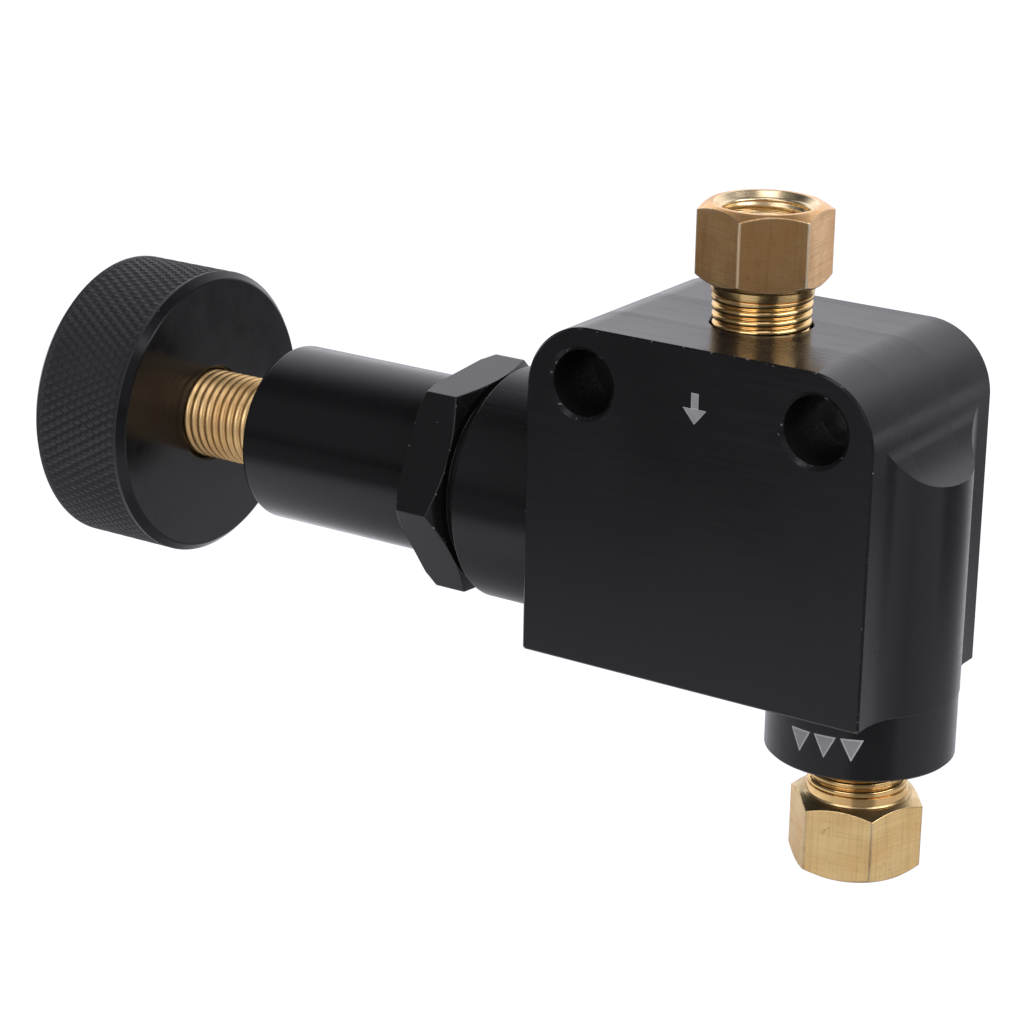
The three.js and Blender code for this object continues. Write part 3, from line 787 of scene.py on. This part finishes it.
def knurl_rows(skin, start, end, radius, teeth, depth):
    """Diamond knurl between two heights. Its rows and columns follow the ridges of the diamonds."""
    per_tooth = len(skin.columns) // teeth
    circumference = TAU * radius
    pitch = circumference / teeth
    step = pitch / per_tooth / math.tan(math.radians(30))
    count = int((end - start) / step)
    margin = (end - start - count * step) / 2
    for k in range(count + 1):
        height = start + margin + k * step
        around = np.arange(len(skin.columns)) / per_tooth
        along = k / per_tooth
        first = np.abs((around + along) % 1.0 - 0.5) * 2
        second = np.abs((around - along) % 1.0 - 0.5) * 2
        ridge = np.minimum(np.minimum(1 - first, 1 - second) / 0.6, 1)
        reach = min(1.0, min(k, count - k) / per_tooth * 3)
        skin.to(radius - depth * (1 - ridge) * reach, height, 0)


def adjuster_knob():
    teeth, per_tooth = 94, 6
    skin = Turning(round_columns(teeth * per_tooth))
    left, right = KNOB_LOW[0], KNOB_HIGH[0]
    radius = (KNOB_HIGH[2] - KNOB_LOW[2]) / 2
    recess = left + 0.25
    skin.to(0, recess, 0).to(radius - 4.2, recess, 0.06).to(radius - 3.8, left, 0.08)
    skin.to(radius - KNOB_EDGE, left, 0.1).to(radius, left + KNOB_EDGE, 0.08)
    knurl_rows(skin, left + 0.9, right - 0.9, radius, teeth, 0.24)
    skin.to(radius, right - KNOB_EDGE, 0.05).to(radius - 0.8, right, 0.1)
    skin.to(5.5, right, 0.06).to(KNOB_BORE_RADIUS, right - 0.35, 0.06)
    skin.to(KNOB_BORE_RADIUS, KNOB_BORE_END, 0.08).to(0, KNOB_BORE_END, 0)
    piece = skin.build("adjuster_knob_skin", "X", ADJUSTER)
    hole = Turning(round_columns(48))
    start, rim, beyond, hole_radius = MID_Y + 3.0, MID_Y + radius - 0.45, MID_Y + radius + 0.9, 2.05
    hole.to(0, start, 0).to(hole_radius, start, 0).to(hole_radius, rim, 0).to(3.4, beyond, 0).to(0, beyond, 0)
    combine(piece, hole.build("set_screw_hole", "Y", (SET_SCREW_X, 0, ADJUSTER_Z)), "DIFFERENCE")
    crisp(piece, 22)
    finish_piece(piece, "adjuster", "knob_anodise", ["adjuster_knob"], KNURL_BLACK, FACE_BLACK)
    for face in piece.data.polygons:
        out = math.hypot(face.center.y / MM - MID_Y, face.center.z / MM - ADJUSTER_Z)
        at_end = abs(face.center.x / MM - (left + right) / 2) > (right - left) / 2 - 0.95
        face.material_index = 1 if at_end and out < radius - 0.02 else 0


# ---- port fittings --------------------------------------------------------

def port_fitting(name, node, centre, base, way, turn, corner_radius, hex_look, worn_look):
    """A hexagon adapter: tapered pipe thread at the block, threaded flare socket at the free end."""
    low, high = box_mm(node)
    length = (high[2] - base) if way > 0 else (base - low[2])
    tail = (base - low[2]) if way > 0 else (high[2] - base)
    skin = Turning(hex_columns(turn))
    at = lambda height: base + way * height
    skin.to(1.3, at(-tail), 0.05).to(4.1, at(-tail), 0.08).to(4.65, at(-tail + 0.7), 0.05)
    thread_tip, thread_top, flare = 4.72, 5.17, 4.38
    skin.thread(at(-tail + 0.8), at(-1.15), thread_tip, thread_top, PIPE_PITCH, 0.42)
    skin.to(4.75, at(-1.12), 0.03).to(5.22, at(-1.02), 0.03).to(5.28, at(-0.2), 0.03).to(5.4, at(0), 0.03)
    radius = hex_radius(skin.columns, turn, corner_radius, 0.14)
    end_radius, relief, floor_at = 5.7, 4.7, at(length - 7.3)
    bevel = (radius - end_radius) * BEVEL_SLOPE
    skin.to(end_radius, at(0), 0.04).to(radius, at(bevel), 0.05).to(radius, at(length - bevel), 0.05)
    skin.to(end_radius, at(length), 0.05).to(5.25, at(length), 0.05).to(4.72, at(length - 0.62), 0.04)
    skin.thread(at(length - 0.8), at(length - 6.6), flare, flare, FLARE_PITCH, 0.38, inside=True)
    skin.to(relief, at(length - 6.7), 0.05).to(relief, floor_at, 0.05).to(3.6, floor_at, 0.05)
    skin.to(1.6, at(length - 5.2), 0.06).to(1.3, at(length - 5.3), 0.04)
    piece = skin.build(name, "Z", centre)
    finish_piece(piece, "housing", "fitting_brass", [node], hex_look, THREAD_BRASS, worn_look, SOCKET_BRASS_PAINTED_LIGHT,
                 DARK_BRASS_FACING_BLOCK)
    worn = hex_radius(np.array([turn]), turn, corner_radius, 0.14)[0] - 0.06
    for face in piece.data.polygons:
        middle = face.center / MM
        out = math.hypot(middle.x - centre[0], middle.y - centre[1])
        along = (middle.z - base) * way
        if out < 5.3:
            # Faces inside the flare socket take the brighter socket brass, which is painted light.
            face.material_index = 3 if along > 0.5 else 1
        elif out > worn:
            face.material_index = 2
        else:
            # Faces at the hexagon's base that turn towards the block take the darker brass.
            face.material_index = 4 if abs(face.normal.z) > 0.5 and along < 1.5 else 0
    for face, middle in narrow_faces(piece, 0.07):
        if math.hypot(middle.x - centre[0], middle.y - centre[1]) > 5.9 and abs(face.normal.z) < 0.8:
            face.material_index = 2


# ---- inside the valve and the knob ----------------------------------------

def ends(node):
    """The left and right end of a CAD node along the adjuster, in millimetres, and its greatest radius."""
    low, high = box_mm(node)
    return low[0], high[0], (high[2] - low[2]) / 2


def turned_piece(node, body, slot, look, outline, ease=0.06, columns=96):
    """A finer turned skin for a CAD node, from the corners (radius, x) of its outline."""
    skin = Turning(round_columns(columns))
    for radius, x in outline:
        skin.to(radius, x, ease if radius else 0)
    finish_piece(skin.build(node + "_skin", "X", ADJUSTER), body, slot, [node], look)


def seal_ring(node):
    """An O-ring with a fine round section and a slight moulding line round its outside."""
    left, right, outer = ends(node)
    minor = (right - left) / 2
    skin = Turning(round_columns(120))
    for turn in round_columns(28):
        line = 0.02 * math.exp(-((math.sin(turn / 2)) / 0.12) ** 2)
        radius = outer - minor + (minor - 0.02 + line) * math.cos(turn)
        skin.to(radius, (left + right) / 2 + minor * math.sin(turn), 0)
    finish_piece(skin.build(node + "_skin", "X", ADJUSTER), "housing", "rubber", [node], RUBBER)


def thrust_ball():
    left, right, radius = ends("thrust_ball")
    outline = [(radius * math.sin(turn), (left + right) / 2 - radius * math.cos(turn))
               for turn in np.linspace(0.06, math.pi - 0.06, 40)]
    outline = [(0, outline[0][1])] + outline + [(0, outline[-1][1])]
    turned_piece("thrust_ball", "spring_follower", "bright_steel", BRIGHT_STEEL, outline, ease=0)


def spring_ends():
    """The cap and the seat that the main spring pushes apart."""
    left, right, radius = ends("spring_cap")
    turned_piece("spring_cap", "spring_follower", "bright_steel", BRIGHT_STEEL, [
        (0, left + 1.68), (1.3, left + 1.4), (2.0, left + 0.6), (2.15, left), (radius, left),
        (radius, left + 2.5), (4.5, left + 2.5), (4.5, right - 0.5), (4.0, right), (1.5, right),
        (1.2, right - 0.6), (0, right - 0.6)])
    left, right, radius = ends("spring_seat")
    turned_piece("spring_seat", "shuttle", "bright_steel", BRIGHT_STEEL, [
        (2.35, left + 0.2), (2.55, left), (3.9, left), (4.4, left + 0.5), (4.4, right - 1.4),
        (radius, right - 1.4), (radius, right), (2.55, right), (2.35, right - 0.2)])


SPRING_TURNS = 6
SPRING_WIRE = 0.8


def coil(name, share_from, share_to):
    """Part of the main spring, from one share of its length to another, with slightly rounded wire ends."""
    left, right, outer = ends("main_spring")
    mean, around = outer - SPRING_WIRE, 20
    length = right - left - 2 * SPRING_WIRE
    steps = round((share_to - share_from) * SPRING_TURNS * 40)
    shares = np.linspace(share_from, share_to, steps + 1)
    sizes = np.ones(steps + 1)
    if share_from == 0:
        shares, sizes = np.append([0, 0], shares), np.append([0.55, 0.86], sizes)
    if share_to == 1:
        shares, sizes = np.append(shares, [1, 1]), np.append(sizes, [0.86, 0.55])
    sweep = TAU * SPRING_TURNS
    vertices, faces = [], []
    for share, size in zip(shares, sizes):
        cos, sin = math.cos(sweep * share), math.sin(sweep * share)
        out = np.array((0, cos, sin))
        along = np.array((length, -mean * sweep * sin, mean * sweep * cos))
        beside = np.cross(along / np.linalg.norm(along), out)
        centre = np.array((left + SPRING_WIRE + length * share, MID_Y, ADJUSTER_Z)) + mean * out
        for turn in round_columns(around):
            vertices.append(centre + SPRING_WIRE * size * (math.cos(turn) * out + math.sin(turn) * beside))
    for k in range(len(sizes) - 1):
        for i in range(around):
            j = (i + 1) % around
            faces.append((k * around + i, k * around + j, (k + 1) * around + j, (k + 1) * around + i))
    faces.append(tuple(range(around)))
    faces.append(tuple(range(len(vertices) - around, len(vertices))))
    piece = new_object(name, vertices, faces)
    crisp(piece, 50)
    finish_piece(piece, "housing", "spring_steel", ["main_spring"], SPRING_STEEL)
    return piece


def main_spring():
    """Builds the main spring as two pieces, its left turns and its last turn. In the valve the left turns
    shorten as the adjuster is screwed in, and the last turn as the piston moves left.
    """
    left, right = ends("main_spring")[:2]
    split = 1 - 1 / SPRING_TURNS
    middle = left + SPRING_WIRE + (right - left - 2 * SPRING_WIRE) * split
    for name, start, end, joint_name, span in (
            ("main_spring_left", 0, split, "follower_slide", middle - left),
            ("main_spring_right", split, 1, "piston_slide", right - middle)):
        piece = coil(name, start, end)
        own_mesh(piece)


def piston():
    left, right, radius = ends("piston")
    turned_piece("piston", "shuttle", "piston_brass", PISTON_BRASS, [
        (0, left), (1.9, left), (2.2, left + 0.3), (2.2, left + 4.2), (2.9, left + 4.2), (3.0, left + 4.35),
        (3.0, 2.4), (1.9, 3.0), (1.9, 9.6), (3.6, 9.6), (radius, 10.1), (radius, 12.7),
        (radius - 0.3, 13.0), (1.8, 13.0), (1.8, right - 0.5), (1.3, right), (0, right)])


def stem_packing():
    """The guide, ring and seals that the piston's stem slides in, and the seal that its head closes on."""
    left, right, outer = ends("stem_guide")
    turned_piece("stem_guide", "housing", "piston_brass", PISTON_BRASS, [
        (3.28, left), (outer - 0.2, left), (outer, left + 0.2), (outer, -15.0), (5.5, -15.0), (5.5, -13.4),
        (outer, -13.4), (outer, right - 0.2), (outer - 0.2, right), (3.28, right), (3.08, right - 0.2),
        (3.08, left + 0.2)])
    left, right, outer = ends("stem_backup_ring")
    turned_piece("stem_backup_ring", "housing", "white_plastic", WHITE_PLASTIC, [
        (3.13, left), (outer, left), (outer, right), (3.13, right)], ease=0.1)
    left, right, outer = ends("stem_seal")
    turned_piece("stem_seal", "housing", "rubber", RUBBER, [
        (3.13, left), (outer, left), (outer, right), (outer - 0.6, right), (5.2, left + 1.2),
        (4.7, left + 1.2), (3.73, right), (3.13, right)], ease=0.12)
    left, right, outer = ends("valve_seal")
    turned_piece("valve_seal", "housing", "rubber", RUBBER, [
        (3.0, left + 0.2), (outer, left), (outer, right), (3.9, right), (2.7, right - 0.4),
        (2.7, right - 1.6)])


def seal_retainer():
    """A brass ring with three slots across its face that let the fluid past."""
    left, right, outer = ends("seal_retainer")
    skin = Turning(round_columns(120))
    skin.to(3.5, left, 0.06).to(outer, left, 0.06).to(outer, right, 0.06).to(3.5, right, 0.06)
    piece = skin.build("seal_retainer_skin", "X", ADJUSTER)
    for turn in range(3):
        centre = (left + 0.2, MID_Y, ADJUSTER_Z)
        slot = bar("retainer_slot", (0.35, 0.7, outer + 1), centre, turn * math.pi / 3)
        combine(piece, slot, "DIFFERENCE")
    crisp(piece, 40)
    finish_piece(piece, "housing", "piston_brass", ["seal_retainer"], PISTON_BRASS)


def bar(name, half, centre, turn):
    """A block of those half sizes, turned about X."""
    ways = (-1, 1)
    corners = [(x * half[0], y * half[1], z * half[2]) for x in ways for y in ways for z in ways]
    c, s = math.cos(turn), math.sin(turn)
    vertices = [(centre[0] + x, centre[1] + y * c - z * s, centre[2] + y * s + z * c) for x, y, z in corners]
    faces = [(0, 1, 3, 2), (4, 6, 7, 5), (0, 4, 5, 1), (2, 3, 7, 6), (0, 2, 6, 4), (1, 5, 7, 3)]
    return new_object(name, vertices, faces)


def clip_outline(outer, inner, opening, inset):
    """An open ring in Y and Z with its gap towards +Y. opening is half the gap's angle in radians."""
    start, end = math.degrees(opening), 360 - math.degrees(opening)
    centre = (MID_Y, ADJUSTER_Z)
    turn = math.degrees(inset / outer)
    outside = arc(centre, outer - inset, start + turn, end - turn, 90)
    inside = arc(centre, inner + inset, end - turn, start + turn, 90)
    return outside + inside


def screw_stop_ring():
    left, right, outer = ends("screw_stop_ring")
    rows = [(0.08, left), (0.0, left + 0.08), (0.0, right - 0.08), (0.08, right)]
    inner, opening = 4.15, 0.35
    outlines = [(clip_outline(outer, inner, opening, inset), x) for inset, x in rows]
    piece = prism("screw_stop_ring_skin", outlines, "X")
    crisp(piece, 40)
    finish_piece(piece, "adjuster", "dark_steel", ["screw_stop_ring"], DARK_STEEL)


def knob_set_screw():
    """A threaded grub screw with a cup point and a hexagon socket in its outer end."""
    low, high = box_mm("knob_set_screw")
    inner, outer, radius = low[1], high[1], (high[2] - low[2]) / 2
    skin = Turning(round_columns(72))
    skin.to(0, inner + 0.3, 0).to(0.7, inner, 0.05).to(1.2, inner, 0.05).to(radius, inner + 0.7, 0.05)
    skin.thread(inner + 0.75, outer - 0.25, radius, radius, 0.7, 0.28)
    skin.to(radius - 0.25, outer, 0.05).to(1.25, outer, 0.04)
    skin.to(1.12, outer - 0.12, 0.04).to(0, outer - 0.12, 0)
    centre = ((low[0] + high[0]) / 2, 0, ADJUSTER_Z)
    piece = skin.build("knob_set_screw_skin", "Y", centre)
    socket = Turning(hex_columns(0, 8))
    across = hex_radius(socket.columns, 0, 1.0, 0.03)
    socket.to(0, outer - 2.3, 0).to(across, outer - 2.0, 0).to(across, outer + 1, 0).to(0, outer + 1, 0)
    combine(piece, socket.build("socket", "Y", centre), "DIFFERENCE")
    crisp(piece, 35)
    finish_piece(piece, "adjuster", "dark_steel", ["knob_set_screw"], DARK_STEEL)


# ---- camera, light and stage ----------------------------------------------

def look_direction(azimuth, elevation):
    """From the object towards the viewer: azimuth 0 is in front, on -Y, and it grows towards +X."""
    a, e = math.radians(azimuth), math.radians(elevation)
    return Vector((math.sin(a) * math.cos(e), -math.cos(a) * math.cos(e), math.sin(e)))


def camera():
    data = bpy.data.cameras.new("camera")
    data.lens = 112.7
    data.sensor_width = 36.0
    made = placed("camera", data)
    azimuth, elevation, roll = 33.6, 18.76, 1.01
    back = look_direction(azimuth, elevation)
    aim = Vector((-29.69, -12.7, -20.3)) * MM
    distance = 346.1 * MM
    made.location = aim + back * distance
    right = Vector((math.cos(math.radians(azimuth)), math.sin(math.radians(azimuth)), 0))
    up = back.cross(right)
    tilt = math.radians(roll)
    across = math.cos(tilt) * right + math.sin(tilt) * up
    above = -math.sin(tilt) * right + math.cos(tilt) * up
    turn = np.array([across, above, back]).T
    made.rotation_mode = "QUATERNION"
    made.rotation_quaternion = Matrix(turn.tolist()).to_quaternion()
    data.clip_start = 0.01
    bpy.context.scene.camera = made


class LightField:
    """Nodes that work out how bright the surroundings are from a direction or a place."""

    def __init__(self, tree, vector):
        self.tree, self.nodes, self.links = tree, tree.nodes, tree.links
        split = self.nodes.new("ShaderNodeSeparateXYZ")
        self.links.new(vector, split.inputs["Vector"])
        self.x, self.y, self.z = (split.outputs[name] for name in "XYZ")

    def step(self, value, low, high, to_low=0.0, to_high=1.0):
        """A smooth step from to_low to to_high as value goes from low to high."""
        return ranged_node(self.tree, value, (low, high, to_low, to_high), smooth=True)

    def math(self, operation, first, second):
        return math_node(self.tree, operation, first, second)

    def between(self, azimuth, low, high):
        """1 between two azimuths in degrees and 0 outside them, with a narrow soft edge."""
        low, high, soft = math.radians(low), math.radians(high), math.radians(3)
        return self.product(self.step(azimuth, low - soft, low + soft),
                            self.step(azimuth, high - soft, high + soft, 1.0, 0.0))

    def product(self, *values):
        total = values[0]
        for value in values[1:]:
            total = self.math("MULTIPLY", total, value)
        return total

    def for_camera(self, value, brightness):
        """That brightness where the camera looks straight at it, and value for all other light."""
        mix = self.nodes.new("ShaderNodeMix")
        self.links.new(self.nodes.new("ShaderNodeLightPath").outputs["Is Camera Ray"], mix.inputs["Factor"])
        self.links.new(value, mix.inputs["A"])
        mix.inputs["B"].default_value = brightness
        return mix.outputs["Result"]


WHITE_LIGHT = (0.985, 0.975, 1.04, 1.0)
WHITE_TO_CAMERA = 1.1
FLOOR_WINDOWS = ((-21, 20), (66, 112))
WINDOW_BRIGHTNESS = 0.62
DARK_SECTOR = (20, 66)
DARK_SECTOR_BRIGHTNESS = 0.25


def world():
    """A lit backdrop behind the object and a dim room elsewhere; plain white where the camera looks."""
    made = bpy.data.worlds.new("studio")
    made.use_nodes = True
    nodes, links = made.node_tree.nodes, made.node_tree.links
    field = LightField(made.node_tree, nodes.new("ShaderNodeTexCoord").outputs["Generated"])
    backdrop = field.product(field.step(field.y, -0.1, 0.4), field.step(field.x, 0.1, 0.7, 1.0, 0.1),
                             field.step(field.z, 0.5, 1.0, 1.15, 0.0))
    overhead = field.step(field.z, 0.9, 1.0, 0.0, 0.1)
    front = field.product(field.step(field.y, -0.5, -0.2, 0.16, 0.0), field.step(field.z, 0.0, 0.25))
    room = field.math("ADD", field.math("ADD", backdrop, field.math("ADD", overhead, front)), 0.035)
    background = nodes["Background"]
    background.inputs["Color"].default_value = WHITE_LIGHT
    links.new(field.for_camera(room, WHITE_TO_CAMERA), background.inputs["Strength"])
    bpy.context.scene.world = made


def floor():
    """A wide pale floor, clear from below. It is brightest in a ring round the object and dims away from it,
    with two brighter sectors towards the softboxes and a dimmer one between them."""
    span = 4.0
    height = cad_box[0].z - FLOOR_DROP * MM
    mesh = bpy.data.meshes.new("floor")
    corners = [(-span, -span, height), (span, -span, height), (span, span, height), (-span, span, height)]
    mesh.from_pydata(corners, [], [(0, 1, 2, 3)])
    made = placed("floor", mesh)
    look = bpy.data.materials.new("pale_floor")
    look.use_nodes = True
    nodes, links = look.node_tree.nodes, look.node_tree.links
    field = LightField(look.node_tree, nodes.new("ShaderNodeTexCoord").outputs["Object"])
    away = nodes.new("ShaderNodeVectorMath")
    away.operation = "LENGTH"
    flat = nodes.new("ShaderNodeCombineXYZ")
    links.new(field.x, flat.inputs["X"])
    links.new(field.y, flat.inputs["Y"])
    links.new(flat.outputs["Vector"], away.inputs[0])
    reach = away.outputs["Value"]
    leftward = field.math("SUBTRACT", field.y, field.x)
    left = field.step(leftward, -0.2, 0.2, 0.75, 1.05)
    shade = field.product(field.step(field.x, 0.0, 0.12, 0.0, 0.4), field.step(field.y, 0.05, 0.15),
                          field.step(field.y, 0.22, 0.3, 1.0, 0.0))
    dimming = field.step(reach, 0.17, 0.3, 1.0, 0.22)
    behind = field.product(field.step(leftward, 0.0, 0.25, 0.0, 0.72), field.step(field.y, 0.05, 0.2))
    glow = field.product(field.step(reach, 0.05, 0.15, 0.36, 0.95), field.math("MAXIMUM", dimming, behind),
                         left, field.math("SUBTRACT", 1.0, shade))
    azimuth = field.math("ARCTAN2", field.x, field.math("MULTIPLY", field.y, -1.0))
    windows = field.math("ADD", *(field.between(azimuth, *window) for window in FLOOR_WINDOWS))
    glow = field.math("MAXIMUM", glow, field.math("MULTIPLY", windows, WINDOW_BRIGHTNESS))
    excess = field.math("MAXIMUM", field.math("SUBTRACT", glow, DARK_SECTOR_BRIGHTNESS), 0.0)
    glow = field.math("SUBTRACT", glow, field.product(excess, field.between(azimuth, *DARK_SECTOR)))
    light = nodes.new("ShaderNodeEmission")
    light.inputs["Color"].default_value = WHITE_LIGHT
    links.new(field.for_camera(glow, WHITE_TO_CAMERA), light.inputs["Strength"])
    side = nodes.new("ShaderNodeMixShader")
    links.new(nodes.new("ShaderNodeNewGeometry").outputs["Backfacing"], side.inputs["Fac"])
    links.new(light.outputs["Emission"], side.inputs[1])
    links.new(nodes.new("ShaderNodeBsdfTransparent").outputs["BSDF"], side.inputs[2])
    links.new(side.outputs["Shader"], nodes["Material Output"].inputs["Surface"])
    mesh.materials.append(look)


def softbox(name, azimuth, elevation, size, strength):
    """A rectangular lamp that faces the object from half a metre away."""
    data = bpy.data.lights.new(name, "AREA")
    data.shape = "RECTANGLE"
    data.size, data.size_y = size
    data.energy = strength * math.pi * size[0] * size[1]
    data.color = WHITE_LIGHT[:3]
    made = placed(name, data)
    centre = sum((Vector(corner) for corner in cad_box), Vector()) / 2
    back = look_direction(azimuth, elevation)
    made.location = centre + back * 0.5
    made.rotation_mode = "QUATERNION"
    made.rotation_quaternion = back.to_track_quat("Z", "Y")


camera()
world()
floor()
softbox("left_softbox", 0, 25, (0.34, 0.32), 1.9)
softbox("right_softbox", 90, 31, (0.4, 0.34), 2.8)
softbox("front_softbox", 30, 72, (0.24, 0.24), 2.0)
bpy.context.scene.view_settings.view_transform = "Standard"

valve_body()
flow_marks()
bonnet()
adjuster_screw()
adjuster_knob()
port_fitting("in_fitting_skin", "in_fitting", INLET, INLET_HEX_BASE, 1, math.radians(7.28 - 90), 7.0,
             INLET_BRASS_PAINTED_SHADE, WORN_BRASS)
port_fitting("out_fitting_skin", "out_fitting", OUTLET, OUTLET_HEX_BASE, -1, math.radians(41.26 - 90), 7.1,
             OUTLET_BRASS, EDGE_BRASS)
knob_set_screw()
screw_stop_ring()
thrust_ball()
spring_ends()
main_spring()
piston()
stem_packing()
seal_retainer()
for ring in ("bonnet_o_ring", "drag_o_ring", "guide_o_ring"):
    seal_ring(ring)
